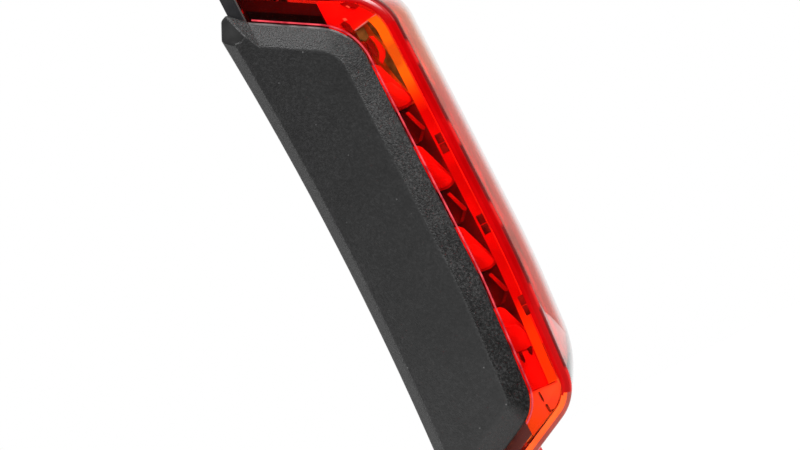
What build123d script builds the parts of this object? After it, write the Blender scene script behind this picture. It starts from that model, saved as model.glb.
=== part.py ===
from build123d import *
import math
import os

# Rear light for a bicycle mudguard, in millimetres.
# +Z runs up along the mudguard, +Y points at the wheel and the lens faces -Y.
# The origin is on the mounting face, midway between the two bolts.

# Whole light
mudguard_radius = 345.0
lens_width = 34.0
lens_depth = 13.3
lens_top = 29.35
lens_bottom = 29.4
top_slope = 31.0
bottom_slope = 26.0
front_lean = 4.0
lean_start = 8.0
part_gap = 0.1
overrun = 4.0

# Lens: the rim is where the flat side walls meet the crowned front
lens_wall = 1.1
front_crown = 1.95
top_crown = 1.05
bottom_crown = 0.35
rim_top_radius = 6.0
rim_bottom_radius = 4.0
crown_top_radius = 5.0
crown_bottom_radius = 11.0
lean_radius = 120.0

# Base plate
pad_thickness = 0.8
base_thickness = 1.5
base_lip = 0.45
base_edge = 0.3
seal_groove = 0.6

# Side covers
cheek_face = 0.4
cheek_bevel_depth = 1.2
cheek_bevel_width = 2.4
cheek_back_bevel = 0.6
cheek_depth = 11.35
cheek_top = 25.0
cheek_bottom = 26.4
cheek_top_radius = 5.8
cheek_bottom_radius = 4.0
cheek_corner_round = 0.3
cheek_ear_rise = 1.6
cheek_ear_depth = 0.7
cheek_heel_drop = 0.5
flange_width = 4.5
peg_radius = 1.0
peg_skin = 0.4
peg_spacing = 18.0
peg_inset = 1.6

# Mounting bolts and their threaded inserts
bolt_spacing = 40.0
bolt_radius = 2.0
insert_clearance = 0.3
insert_radius = 2.8
insert_length = 4.6
boss_wall = 0.9
boss_end = 0.6

# Rubber pad
pad_height = 47.0
pad_corner = 3.0
pad_gap = 0.3
pad_groove_depth = 0.3
pad_groove_width = 1.0
pad_groove_pitch = 4.5

# Lens screw
screw_radius = 1.0
screw_head_radius = 1.9
screw_head_height = 1.2
screw_length = 3.6
screw_boss_wall = 0.8
screw_seat = 0.9
lug_width = 5.0
lug_depth = 4.6
drive_radius = 0.55
drive_depth = 0.7

# Inner tray, which holds the cell and carries the board
tray_gap = 0.3
tray_wall = 1.0
tray_depth = 7.0
tray_floor = 1.0
floor_depth = 4.5
hook_width = 5.0
hook_spacing = 18.0
hook_reach = 1.1

# Button cell
cell_radius = 12.25
cell_height = 5.0
cell_gap = 0.2
cell_can_wall = 0.45
cell_cap_inset = 1.6
nest_wall = 0.9
contact_thickness = 0.25
contact_width = 4.0

# Circuit board and what is on it
board_thickness = 1.0
board_width = 28.6
board_gap = 0.4
board_post_radius = 1.7
board_screw_radius = 0.8
board_screw_head = 1.5
board_screw_head_height = 0.7
board_screw_length = 3.0
board_screw_spacing = 17.0
led_size = 2.0
led_height = 0.7
led_dome = 0.75
led_share = 0.19
chip_size = 4.0
chip_height = 0.9
capacitor_radius = 2.0
capacitor_height = 3.0
resistor_length = 1.6
resistor_width = 0.8
resistor_height = 0.45
resistor_count = 5
resistor_pitch = 2.2

# Cells of the side reflectors, counted from the top
optic_top = 19.3
cell_pitch = 9.1
cell_count = 4
optic_bottom_room = 3.2
optic_gap = 0.25
strip_thickness = 0.5
carrier_width = 24.0
carrier_wall = 0.8
chevron_thickness = 0.35
guide_depth = 1.0
guide_width = 2.3
guide_notch = 2.0
guide_notch_depth = 0.5
retro_prism_pitch = 2.6
retro_prism_height = 0.7

# Push button in the bottom slope
button_width = 8.0
button_thickness = 3.4
button_stand = 0.7
button_travel = 0.5
button_gap = 0.15
button_flange = 0.8
stem_radius = 0.7
switch_width = 4.4
switch_height = 3.0
switch_thickness = 1.7
plunger_width = 1.8
plunger_height = 0.9
plunger_length = 0.8
guide_wall = 0.9
guide_bar_width = 12.0

# Corners of a wedge and of a chevron rib: shares of the cell's depth and of its pitch
wedge_shares = [(1, 0.967), (0, 0.99), (0, 0.374), (0.52, 0.44), (1, 0.923)]
chevron_shares = [(0.66, -0.01), (0.66, 0.077), (0.9, 0.286), (0.62, 0.46)]

# Places that follow from the sizes above
lens_half = lens_width / 2
base_rear = -pad_thickness
seat = base_rear - base_thickness
tray_back = seat - part_gap
tray_front = seat - tray_depth
floor_back = seat - floor_depth
floor_front = floor_back - tray_floor
board_back = floor_front - board_gap
board_front = board_back - board_thickness
top_tangent = math.tan(math.radians(top_slope))
bottom_tangent = math.tan(math.radians(bottom_slope))
lean_tangent = math.tan(math.radians(front_lean))
top_cosine = math.cos(math.radians(top_slope))
bottom_cosine = math.cos(math.radians(bottom_slope))
bolt_height = bolt_spacing / 2


def block(x, y, z):
    """Box between two values on each axis."""
    size = (abs(x[1] - x[0]), abs(y[1] - y[0]), abs(z[1] - z[0]))
    middle = ((x[0] + x[1]) / 2, (y[0] + y[1]) / 2, (z[0] + z[1]) / 2)
    return Pos(*middle) * Box(*size)


def rod_along_y(x, z, radius, y_from, y_to):
    """Round bar along Y."""
    bar = Rot(90, 0, 0) * Cylinder(radius, abs(y_to - y_from))
    return Pos(x, (y_from + y_to) / 2, z) * bar


def rod_along_z(x, y, radius, z_from, z_to):
    """Round bar along Z."""
    return Pos(x, y, (z_from + z_to) / 2) * Cylinder(radius, abs(z_to - z_from))


def prism(points, x_from, x_to):
    """Straight-sided outline in the side view, given its width."""
    outline = make_face(Polyline(*points, close=True))
    return extrude(Plane.YZ.offset(x_from) * outline, x_to - x_from)


def back_curve(z):
    """Where the mudguard's surface lies at a height."""
    return mudguard_radius - math.sqrt(mudguard_radius ** 2 - z ** 2)


def lens_end(top, crown, inset, y):
    """Height of the lens's top or bottom slope at a depth."""
    height = lens_top + top_crown * crown if top else lens_bottom + bottom_crown * crown
    tangent = top_tangent if top else bottom_tangent
    cosine = top_cosine if top else bottom_cosine
    reach = height - inset / cosine - (seat - y) * tangent
    return reach if top else -reach


def lens_side(crown, inset, back, x):
    """Side outline of the lens as a face; crown is 0 at the rim and 1 at the middle."""
    front = seat - lens_depth - front_crown * crown + inset
    base_bottom = lens_end(False, crown, inset, seat)
    corner_y = front + (-lean_start - base_bottom - seat * bottom_tangent) * lean_tangent
    corner_y = corner_y / (1 - bottom_tangent * lean_tangent)
    points = [
        (back, lens_end(True, crown, inset, back)),
        (front, lens_end(True, crown, inset, front)),
        (front, -lean_start),
        (corner_y, lens_end(False, crown, inset, corner_y)),
        (back, lens_end(False, crown, inset, back)),
    ]
    top_radius = crown_top_radius if crown else rim_top_radius
    bottom_radius = crown_bottom_radius if crown else rim_bottom_radius
    radii = [top_radius - inset, lean_radius - inset, bottom_radius - inset]
    outline = FilletPolyline(*points, radius=radii)
    face = make_face(outline + Line(points[-1], points[0]))
    return Plane.YZ.offset(x) * face


def lens_form(inset, back):
    """Solid bounded by the lens's crowned outside, drawn in by a wall."""
    half = lens_half - inset
    sections = [
        lens_side(0, inset, back, -half),
        lens_side(1, inset, back, 0),
        lens_side(0, inset, back, half),
    ]
    return loft(sections)


def rim_prism(inset, x_from, x_to, y_from, y_to):
    """Straight prism inside the lens's rim, cut to a depth range."""
    body = extrude(lens_side(0, inset, overrun, x_from), x_to - x_from)
    room = lens_top + lens_bottom
    return body & block((x_from, x_to), (y_from, y_to), (-room, room))


def seat_outline(outset, y):
    """Outline of the lens's foot on the base, with curved ends."""
    half = lens_half + min(outset, 0)
    top = lens_top + outset
    bottom = -lens_bottom - outset
    top_end = ThreePointArc((-half, top), (0, top + top_crown), (half, top))
    bottom_end = ThreePointArc((half, bottom), (0, bottom - bottom_crown), (-half, bottom))
    sides = Line((half, top), (half, bottom)) + Line((-half, bottom), (-half, top))
    face = make_face(top_end + sides + bottom_end)
    return Plane((0, y, 0), x_dir=(-1, 0, 0), z_dir=(0, 1, 0)) * face


def cheek_side(inset, back_inset, x):
    """Side outline of a side cover, drawn in by its bevels."""
    top_cut = inset / top_cosine
    bottom_cut = inset / bottom_cosine
    front = inset - cheek_depth
    top_at_front = cheek_top - top_cut - (seat - front) * top_tangent
    base_bottom = bottom_cut - cheek_bottom
    corner_y = front + (-lean_start - base_bottom - seat * bottom_tangent) * lean_tangent
    corner_y = corner_y / (1 - bottom_tangent * lean_tangent)
    heel = cheek_top - cheek_heel_drop - back_inset
    toe_y = back_curve(cheek_bottom) - back_inset
    toe = base_bottom - (toe_y - seat) * bottom_tangent
    points = [
        (back_curve(heel) - back_inset, heel),
        (-back_inset, cheek_top + cheek_ear_rise - cheek_corner_round - top_cut),
        (-cheek_ear_depth - back_inset, cheek_top + cheek_ear_rise - top_cut),
        (seat, cheek_top - top_cut),
        (front, top_at_front),
        (front, -lean_start),
        (corner_y, base_bottom + (seat - corner_y) * bottom_tangent),
        (toe_y, toe),
    ]
    radii = [
        cheek_corner_round / 2,
        cheek_corner_round,
        cheek_corner_round,
        cheek_top_radius - inset,
        lean_radius - inset,
        cheek_bottom_radius - inset,
    ]
    middle = (heel + toe) / 2
    outline = FilletPolyline(*points, radius=radii)
    back = ThreePointArc(points[-1], (back_curve(middle) - back_inset, middle), points[0])
    return Plane.YZ.offset(x) * make_face(outline + back)


def make_cheek():
    """Side cover on +X: bevelled plate, rear flange and pegs."""
    inner = lens_half + part_gap
    face_start = inner + cheek_face
    outer = face_start + cheek_bevel_depth
    plate = extrude(cheek_side(0, 0, inner), cheek_face)
    crown = loft(
        [cheek_side(0, 0, face_start), cheek_side(cheek_bevel_width, cheek_back_bevel, outer)],
        ruled=True,
    )
    flange_inner = inner - flange_width
    flange = extrude(cheek_side(0, 0, flange_inner), flange_width)
    flange &= block((flange_inner, inner), (base_rear, overrun), (-lens_bottom, lens_top))
    cheek = plate + crown + flange
    peg_x = flange_inner + peg_inset
    for step in (-1, 0, 1):
        cheek += rod_along_y(peg_x, step * peg_spacing, peg_radius, back_curve(0), seat + peg_skin)
    return cheek


def make_lens():
    """Red cup: crowned front, flat sides, screw boss and button window."""
    lens = lens_form(0, seat) - lens_form(lens_wall, overrun)
    boss_radius = screw_head_radius + part_gap + screw_boss_wall
    boss_top = lens_end(True, 1, 0, screw_y)
    boss = rod_along_z(0, screw_y, boss_radius, lug_top, boss_top)
    lens += boss & lens_form(0, seat)
    recess = rod_along_z(0, screw_y, screw_head_radius + part_gap, screw_seat_z, boss_top + overrun)
    lens -= recess
    lens -= rod_along_z(0, screw_y, screw_radius + part_gap, lug_top - overrun, screw_seat_z)
    window = button_section(button_gap)
    return lens - extrude(window, -overrun * 2, dir=(0, 0, 1))


def button_section(outset):
    """Rounded section of the button, in plan."""
    width = button_width + outset * 2
    thickness = button_thickness + outset * 2
    face = RectangleRounded(width, thickness, thickness / 2 - part_gap)
    return Pos(0, button_y, -bolt_height) * face


def make_base_plate():
    """Rear plate: insert bosses, screw lug, seal groove, peg holes and hook slots."""
    plate = extrude(seat_outline(base_lip, base_rear), -base_thickness)
    front_edges = plate.edges().filter_by_position(Axis.Y, seat - part_gap, seat + part_gap)
    plate = chamfer(front_edges, base_edge)
    groove = extrude(seat_outline(-part_gap, seat), seal_groove)
    plate -= groove - extrude(seat_outline(-lens_wall - part_gap, seat), seal_groove)
    boss_radius = insert_radius + boss_wall
    boss_front = base_rear - insert_length - boss_end
    for side in (-1, 1):
        plate += rod_along_y(0, side * bolt_height, boss_radius, seat, boss_front)
    plate += block(
        (-lug_width / 2, lug_width / 2),
        (seat, seat - lug_depth),
        (bolt_height + insert_radius, lug_top),
    )
    for side in (-1, 1):
        height = side * bolt_height
        plate -= rod_along_y(0, height, insert_radius, base_rear, base_rear - insert_length)
        peg_x = side * (lens_half + part_gap - flange_width + peg_inset)
        for step in (-1, 0, 1):
            plate -= rod_along_y(peg_x, step * peg_spacing, peg_radius, base_rear, seat + peg_skin)
        slot_x = side * hook_spacing / 2
        slot_half = hook_width / 2 + part_gap
        plate -= block(
            (slot_x - slot_half, slot_x + slot_half),
            (seat, tray_back + hook_reach + part_gap),
            (hook_low - part_gap, hook_high + part_gap),
        )
    plate -= rod_along_z(0, screw_y, screw_radius, screw_seat_z - screw_length, lug_top)
    return plate


def make_threaded_inserts():
    """Two inserts for the mounting bolts, standing through the pad to the mounting face."""
    inserts = []
    for side in (-1, 1):
        height = side * bolt_height
        sleeve = rod_along_y(0, height, insert_radius, 0, base_rear - insert_length)
        sleeve -= rod_along_y(0, height, bolt_radius, 0, base_rear - insert_length)
        inserts.append(sleeve)
    return Compound(children=inserts)


def make_mounting_pad():
    """Rubber pad between the flanges, with grip grooves and bolt holes."""
    half = lens_half + part_gap - flange_width - pad_gap
    end = pad_height / 2
    plan = Plane((0, base_rear, 0), x_dir=(-1, 0, 0), z_dir=(0, 1, 0))
    blank = extrude(plan * RectangleRounded(half * 2, pad_height, pad_corner), overrun)
    corner = back_curve(end)
    arc = ThreePointArc((corner, -end), (0, 0), (corner, end))
    behind = Polyline((corner, end), (overrun * 2, end), (overrun * 2, -end), (corner, -end))
    blank -= extrude(Plane.YZ.offset(-half) * make_face(arc + behind), half * 2)
    count = int((end - pad_corner) // pad_groove_pitch)
    for step in range(-count, count + 1):
        height = step * pad_groove_pitch
        blank -= block(
            (-half, half),
            (back_curve(height) - pad_groove_depth, overrun),
            (height - pad_groove_width / 2, height + pad_groove_width / 2),
        )
    for side in (-1, 1):
        hole = insert_radius + insert_clearance
        blank -= rod_along_y(0, side * bolt_height, hole, base_rear - overrun, overrun)
    return blank


def make_lens_seal():
    """Flat gasket in the base's groove, under the lens's foot."""
    ring = extrude(seat_outline(-part_gap, seat), seal_groove)
    return ring - extrude(seat_outline(-lens_wall - part_gap, seat), seal_groove)


def make_lens_screw():
    """Pan-head screw with a star recess, from the top slope into the base's lug."""
    head = rod_along_z(0, screw_y, screw_head_radius, screw_seat_z, screw_seat_z + screw_head_height)
    head = fillet(head.edges().group_by(Axis.Z)[-1], screw_head_height / 3)
    shank = rod_along_z(0, screw_y, screw_radius, screw_seat_z - screw_length, screw_seat_z)
    top = screw_seat_z + screw_head_height
    drive = Pos(0, screw_y, top - drive_depth / 2) * extrude_hexagon(drive_radius, drive_depth)
    return head + shank - drive


def extrude_hexagon(radius, height):
    """Six-sided bar, centred."""
    return extrude(RegularPolygon(radius, 6), height / 2, both=True)


def make_inner_tray():
    """Black housing inside the lens: walls, floor with the cell's nest, hooks."""
    inset = lens_wall + tray_gap
    half = lens_half - inset
    tray = rim_prism(inset, -half, half, tray_back, tray_front)
    room = half - tray_wall
    hollow = rim_prism(inset + tray_wall, -room, room, tray_back + overrun, tray_front - overrun)
    tray -= hollow
    floor = hollow & block((-half, half), (floor_back, floor_front), (-lens_bottom, lens_top))
    nest = rod_along_y(0, 0, cell_radius + cell_gap + nest_wall, cell_back, floor_front)
    tray = tray + floor + nest
    tray -= rod_along_y(0, 0, cell_radius + cell_gap, seat, floor_front - overrun)
    notch = contact_width / 2 + cell_gap
    notch_top = cell_radius + nest_wall + cell_gap * 2
    tray -= block((-notch, notch), (seat, floor_front), (cell_radius, notch_top))
    lug_room = lug_width / 2 + tray_gap
    boss_room = screw_head_radius + screw_boss_wall + part_gap + tray_gap
    lug_half = max(lug_room, boss_room)
    lug_back = seat - lug_depth - tray_gap * 2
    tray -= block((-lug_half, lug_half), (seat, lug_back), (bolt_height, lens_top))
    switch_half = switch_width / 2 + tray_gap
    switch_back = floor_back + overrun / 2
    switch_room = (switch_low, switch_top + tray_gap)
    tray -= block((-switch_half, switch_half), (switch_back, floor_front), switch_room)
    guide_half = guide_bar_width / 2
    guide_top = pocket_top + guide_wall
    tray += hollow & block((-guide_half, guide_half), (floor_back, tray_front), (pocket_top, guide_top))
    pocket = extrude(button_section(button_flange + button_gap), -overrun * 2, dir=(0, 0, 1))
    below = block((-lens_half, lens_half), (seat, tray_front - overrun), (-lens_bottom * 2, pocket_top))
    tray -= pocket & below
    passage = math.hypot(plunger_width, plunger_height) / 2 + button_gap
    tray -= rod_along_z(0, button_y, passage, -lens_bottom, switch_low)
    for side in (-1, 1):
        slot_x = side * hook_spacing / 2
        tray += block(
            (slot_x - hook_width / 2, slot_x + hook_width / 2),
            (tray_back, tray_back + hook_reach),
            (hook_low, hook_high),
        )
        post_x = side * board_screw_x
        for height in board_screw_heights:
            tray += rod_along_y(post_x, height, board_post_radius, floor_front, board_back)
            tray -= rod_along_y(post_x, height, board_screw_radius, board_back, board_tip)
    return tray


def make_coin_cell():
    """Lithium button cell as its steel can and the smaller cap that faces the board."""
    back = cell_back
    front = back - cell_height
    can = rod_along_y(0, 0, cell_radius, back, front + cell_can_wall)
    can = fillet(can.edges().group_by(Axis.Y)[-1], cell_can_wall)
    cap_radius = cell_radius - cell_cap_inset
    can -= rod_along_y(0, 0, cap_radius, front + cell_can_wall, back - cell_can_wall)
    cap = rod_along_y(0, 0, cap_radius, front, back - cell_can_wall)
    cap = fillet(cap.edges().group_by(Axis.Y)[0], cell_can_wall / 2)
    return can, cap


def make_contacts():
    """Negative spring strip on the board and positive strip beside the cell."""
    front = cell_back - cell_height
    strip = block(
        (-contact_width / 2, contact_width / 2),
        (board_back, board_back + contact_thickness),
        (-cell_radius / 2, cell_radius / 2),
    )
    middle = block(
        (-contact_width / 2, contact_width / 2),
        (board_back, front),
        (-contact_width / 2, contact_width / 2),
    )
    positive = block(
        (-contact_width / 2, contact_width / 2),
        (board_back, cell_back),
        (cell_radius, cell_radius + contact_thickness),
    )
    return positive, strip + middle


def make_circuit_board():
    """Flat board in the tray's front rim, drilled for its screws."""
    half = board_width / 2
    hole = board_screw_radius + part_gap
    board = block((-half, half), (board_back, board_front), (board_low, board_high))
    for side in (-1, 1):
        for height in board_screw_heights:
            board -= rod_along_y(side * board_screw_x, height, hole, board_back, board_front)
    return board


def make_board_screws():
    """Four small screws that hold the board on the tray's posts."""
    screws = []
    head_end = board_front - board_screw_head_height
    for side in (-1, 1):
        for height in board_screw_heights:
            x = side * board_screw_x
            shank = rod_along_y(x, height, board_screw_radius, board_front, board_tip)
            screws.append(shank + rod_along_y(x, height, board_screw_head, board_front, head_end))
    return Compound(children=screws)


def make_leds(side):
    """One lamp for each reflector cell, on the board."""
    lamps = []
    x = side * led_x
    dome_base = board_front - led_height
    for index in range(cell_count):
        height = optic_top - index * cell_pitch - led_offset
        body = block(
            (x - led_size / 2, x + led_size / 2),
            (board_front, dome_base),
            (height - led_size / 2, height + led_size / 2),
        )
        dome = Pos(x, dome_base, height) * Sphere(led_dome)
        lamps.append(body + split(dome, bisect_by=Plane((x, dome_base, height), z_dir=(0, -1, 0))))
    return Compound(children=lamps)


def make_optic_carrier():
    """Dark frame that carries the retroreflector and backs the side cells."""
    half = carrier_width / 2
    outer = block((-half, half), (tray_front, carrier_front), (retro_low - carrier_wall, optic_top))
    inner_half = half - carrier_wall
    return outer - block(
        (-inner_half, inner_half),
        (tray_front, carrier_front),
        (retro_low, optic_top - carrier_wall),
    )


def make_side_reflector():
    """Metallised strip on +X with a wedge and a chevron rib in every cell."""
    inset = lens_wall + optic_gap
    inner = carrier_width / 2 + part_gap
    outer = lens_half - inset
    wedge_start = inner + part_gap
    strip_front = tray_front - strip_thickness
    deep = -lens_depth * 2
    caps = rim_prism(inset + guide_depth / 2, inner, outer, tray_front, deep)
    cut = block((inner, outer), (tray_front, deep), (retro_low - part_gap * 2, optic_top))
    reflector = caps - cut
    reflector += block((inner, outer), (tray_front, strip_front), (optic_bottom, optic_top + carrier_wall))
    room = carrier_front - tray_front
    for index in range(cell_count):
        top = optic_top - index * cell_pitch
        wedge = [(tray_front + room * across, top - cell_pitch * down) for across, down in wedge_shares]
        reflector += prism(wedge, wedge_start, outer)
        ridge = [(tray_front + room * across, top - cell_pitch * down) for across, down in chevron_shares]
        rear = [(y + chevron_thickness, z) for y, z in reversed(ridge)]
        reflector += prism(ridge + rear, wedge_start, outer - guide_notch_depth)
        lamp = top - led_offset
        window = led_size / 2 + part_gap * 2
        window_x = (led_x - window, led_x + window)
        reflector -= block(window_x, (tray_front, strip_front), (lamp - window, lamp + window))
    return reflector


def make_light_guide():
    """Clear bar on +X along the rim's inside, notched at every cell's middle."""
    inset = lens_wall + part_gap
    outer = lens_half - inset
    inner = outer - guide_width
    deep = -lens_depth * 2
    bar = rim_prism(inset, inner, outer, carrier_front - part_gap, deep)
    bar -= rim_prism(inset + guide_depth, inner, outer, overrun, deep)
    bar &= block((inner, outer), (carrier_front, deep), (optic_bottom, optic_top))
    for index in range(cell_count):
        height = optic_top - (index + 1 / 2) * cell_pitch
        notch_z = (height - guide_notch / 2, height + guide_notch / 2)
        bar -= block((outer - guide_notch_depth, outer), (carrier_front, deep), notch_z)
    return bar


def make_retroreflector():
    """Crowned plate close under the lens, with rows of prisms on its back."""
    half = carrier_width / 2
    low = retro_low
    high = optic_top - part_gap
    plate = lens_form(lens_wall + optic_gap, overrun)
    plate &= block((-half, half), (carrier_front, -lens_depth * 2), (low, high))
    rows = int((high - low - carrier_wall * 4) // retro_prism_pitch)
    reach = half - carrier_wall * 2
    for index in range(rows):
        middle = (high + low) / 2 + (index - (rows - 1) / 2) * retro_prism_pitch
        side = retro_prism_pitch / 2 - part_gap
        points = [
            (carrier_front, middle - side),
            (carrier_front + retro_prism_height, middle),
            (carrier_front, middle + side),
        ]
        plate += prism(points, -reach, reach)
    return plate


def make_button_cap():
    """Soft-touch button: slanted face, retaining flange and stem."""
    blank = extrude(button_section(0), -overrun * 2, dir=(0, 0, 1))
    cap = blank & extrude(lens_side(1, -button_stand, overrun, -button_width), button_width * 2)
    below = block((-button_width, button_width), (overrun, -lens_depth * 2), (-lens_bottom * 2, flange_top))
    cap &= below
    flange = extrude(button_section(button_flange), -overrun * 2, dir=(0, 0, 1))
    inside = lens_side(0, lens_wall + part_gap * 2, overrun, -button_width)
    flange &= extrude(inside, button_width * 2)
    flange &= below
    return cap + flange + rod_along_z(0, button_y, stem_radius, flange_top, plunger_tip)


def make_switch():
    """Side-push switch under the board's edge, and its plunger."""
    body = block(
        (-switch_width / 2, switch_width / 2),
        (board_back, board_back + switch_thickness),
        (switch_low, switch_top),
    )
    socket = plunger_width / 2 + part_gap / 2
    depth = plunger_height / 2 + part_gap / 2
    socket_top = switch_low + button_travel + plunger_length + part_gap
    body -= block((-socket, socket), (button_y - depth, button_y + depth), (switch_low, socket_top))
    plunger = block(
        (-plunger_width / 2, plunger_width / 2),
        (button_y - plunger_height / 2, button_y + plunger_height / 2),
        (plunger_tip, switch_low + plunger_length),
    )
    return body, plunger


def make_chip_parts():
    """Driver chip, two capacitors and a row of resistors on the board's front."""
    chip_z = cell_radius / 2
    chip_half = chip_size / 2
    chip = block(
        (-chip_half, chip_half),
        (board_front, board_front - chip_height),
        (chip_z - chip_half, chip_z + chip_half),
    )
    capacitors = []
    for side in (-1, 1):
        x = side * (chip_size + capacitor_radius)
        end = board_front - capacitor_height
        capacitors.append(rod_along_y(x, -chip_z, capacitor_radius, board_front, end))
    resistors = []
    for index in range(resistor_count):
        x = (index - (resistor_count - 1) / 2) * resistor_pitch
        resistors.append(block(
            (x - resistor_width / 2, x + resistor_width / 2),
            (board_front, board_front - resistor_height),
            (-resistor_length / 2, resistor_length / 2),
        ))
    return chip, Compound(children=capacitors), Compound(children=resistors)


# Places that need the functions above
screw_y = seat - lug_depth / 2
lug_top = lens_end(True, 1, lens_wall, seat - lug_depth) - screw_seat / 2
screw_seat_z = lug_top + screw_seat
cell_back = seat - cell_gap
optic_bottom = optic_top - cell_count * cell_pitch - optic_bottom_room
retro_low = optic_top - cell_count * cell_pitch
screw_room = board_screw_head + board_gap
board_screw_heights = (retro_low + screw_room, optic_top - carrier_wall - screw_room)
carrier_front = seat - lens_depth + lens_wall + guide_depth + part_gap * 2
board_high = lens_end(True, 0, lens_wall + tray_gap + tray_wall, board_front) - part_gap * 2
board_low = lens_end(False, 0, lens_wall + tray_gap + tray_wall, board_front) + part_gap * 2
board_screw_x = board_screw_spacing / 2
board_tip = board_front + board_screw_length
led_x = (carrier_width / 2 + lens_half - lens_wall - tray_gap - tray_wall) / 2
led_offset = cell_pitch * led_share
button_y = board_back + switch_thickness / 2
hook_low = lens_end(False, 0, lens_wall + tray_gap, tray_back)
hook_high = hook_low + tray_wall
switch_low = board_low + plunger_length
switch_top = switch_low + switch_height
plunger_tip = switch_low - plunger_length
flange_top = lens_end(False, 0, lens_wall + tray_gap, button_y) - button_travel
pocket_top = flange_top + button_travel + button_gap

cheek = make_cheek()
reflector = make_side_reflector()
guide = make_light_guide()
can, cap = make_coin_cell()
positive, negative = make_contacts()
switch_body, plunger = make_switch()
chip, capacitors, resistors = make_chip_parts()

nodes = {
    "base_plate": make_base_plate(),
    "mounting_pad": make_mounting_pad(),
    "threaded_inserts": make_threaded_inserts(),
    "cheek_right": cheek,
    "cheek_left": mirror(cheek, about=Plane.YZ),
    "lens": make_lens(),
    "lens_seal": make_lens_seal(),
    "lens_screw": make_lens_screw(),
    "inner_tray": make_inner_tray(),
    "coin_cell_can": can,
    "coin_cell_cap": cap,
    "positive_contact": positive,
    "negative_contact": negative,
    "circuit_board": make_circuit_board(),
    "board_screws": make_board_screws(),
    "driver_chip": chip,
    "capacitors": capacitors,
    "resistors": resistors,
    "leds_right": make_leds(1),
    "leds_left": make_leds(-1),
    "optic_carrier": make_optic_carrier(),
    "retroreflector": make_retroreflector(),
    "side_reflector_right": reflector,
    "side_reflector_left": mirror(reflector, about=Plane.YZ),
    "light_guide_right": guide,
    "light_guide_left": mirror(guide, about=Plane.YZ),
    "switch_body": switch_body,
    "switch_plunger": plunger,
    "button_cap": make_button_cap(),
}

os.makedirs("parts", exist_ok=True)
for name, solid in nodes.items():
    export_step(solid, f"parts/{name}.step")
    print(name, round(solid.volume, 2))
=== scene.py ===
import bpy
import math
from mathutils import Matrix, Vector


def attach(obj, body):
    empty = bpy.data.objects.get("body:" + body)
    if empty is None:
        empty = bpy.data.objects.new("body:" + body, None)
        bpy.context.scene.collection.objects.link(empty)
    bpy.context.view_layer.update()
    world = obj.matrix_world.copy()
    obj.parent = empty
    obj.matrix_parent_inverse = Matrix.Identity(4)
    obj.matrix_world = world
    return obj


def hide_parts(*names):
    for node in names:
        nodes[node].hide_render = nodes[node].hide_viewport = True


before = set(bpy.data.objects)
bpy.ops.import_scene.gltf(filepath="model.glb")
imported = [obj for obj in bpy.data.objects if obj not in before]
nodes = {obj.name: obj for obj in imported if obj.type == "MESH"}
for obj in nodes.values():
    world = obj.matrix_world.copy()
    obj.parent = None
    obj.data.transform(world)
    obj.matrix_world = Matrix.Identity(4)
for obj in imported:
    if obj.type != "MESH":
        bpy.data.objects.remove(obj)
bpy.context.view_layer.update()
mm = 0.001
nearly = 0.01          # places nearer than this, in millimetres, count as one
mergeReach = 0.002     # corners nearer than this are merged
cutReach = 0.0005      # corners nearer to a cut than this belong to it
print("frame loaded:", len(nodes), "nodes")

# the light's own lines, in millimetres: Y runs to the wheel, the lens faces -Y
light = {
    "mudguardRadius": 345.0,
    "seat": -2.3,          # front of the base plate, where the lens stands
    "rimFront": -15.6,     # flat front edge of the side walls
    "top": 29.35,
    "bottom": -29.4,
    "topSlope": 31.0,
    "bottomSlope": 26.0,
    "lean": 4.0,
    "leanFrom": -8.0,
    "halfWidth": 17.0,
}
topSlope, bottomSlope, lean = [math.radians(light[name]) for name in ("topSlope", "bottomSlope", "lean")]


# small helpers for working by hand

def pickNothing():
    if bpy.context.mode != "OBJECT":
        bpy.ops.object.mode_set(mode="OBJECT")
    bpy.ops.object.select_all(action="DESELECT")


def only(piece):
    pickNothing()
    piece.select_set(True)
    bpy.context.view_layer.objects.active = piece


def openEdit(piece):
    only(piece)
    bpy.ops.object.mode_set(mode="EDIT")


def openWhole(piece):
    openEdit(piece)
    bpy.ops.mesh.select_all(action="SELECT")


def closeEdit():
    bpy.ops.object.mode_set(mode="OBJECT")


def metres(lengths):
    return [length * mm for length in lengths]


def added(name):
    # the primitive just added, with its place in its mesh
    piece = bpy.context.active_object
    piece.name = name
    bpy.ops.object.transform_apply(location=True, rotation=True, scale=True)
    return piece


def pick(piece, kind, test):
    # selects edges or faces by their place; the piece is in edit mode before and after
    bpy.ops.mesh.select_mode(type=kind)
    bpy.ops.mesh.select_all(action="DESELECT")
    closeEdit()
    mesh = piece.data
    if kind == "EDGE":
        for e in mesh.edges:
            e.select = test(*[mesh.vertices[number].co / mm for number in e.vertices])
    else:
        for f in mesh.polygons:
            f.select = test(f.center / mm, f.normal)
    bpy.ops.object.mode_set(mode="EDIT")


def pull(step):
    bpy.ops.mesh.extrude_region_move(TRANSFORM_OT_translate={"value": metres(step)})


def drawOutline(name, points):
    # one corner is pulled from point to point, and the loop is closed with a face
    pickNothing()
    bpy.ops.mesh.primitive_plane_add(size=mm, location=metres(points[0]))
    piece = added(name)
    bpy.ops.object.mode_set(mode="EDIT")
    bpy.ops.mesh.select_mode(type="VERT")
    bpy.ops.mesh.select_all(action="SELECT")
    bpy.ops.mesh.merge(type="CENTER")
    for here, there in zip(points, points[1:]):
        pull([b - a for a, b in zip(here, there)])
    bpy.ops.mesh.select_all(action="SELECT")
    bpy.ops.mesh.edge_face_add()
    return piece


def tidyNormals(piece):
    openWhole(piece)
    bpy.ops.mesh.remove_doubles(threshold=mergeReach * mm)
    bpy.ops.mesh.normals_make_consistent(inside=False)
    closeEdit()


def drawSlab(name, side, start, thickness):
    # side outline pulled across
    slab = drawOutline(name, [(start, y, z) for y, z in side])
    pull((thickness, 0, 0))
    closeEdit()
    tidyNormals(slab)
    return slab


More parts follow.
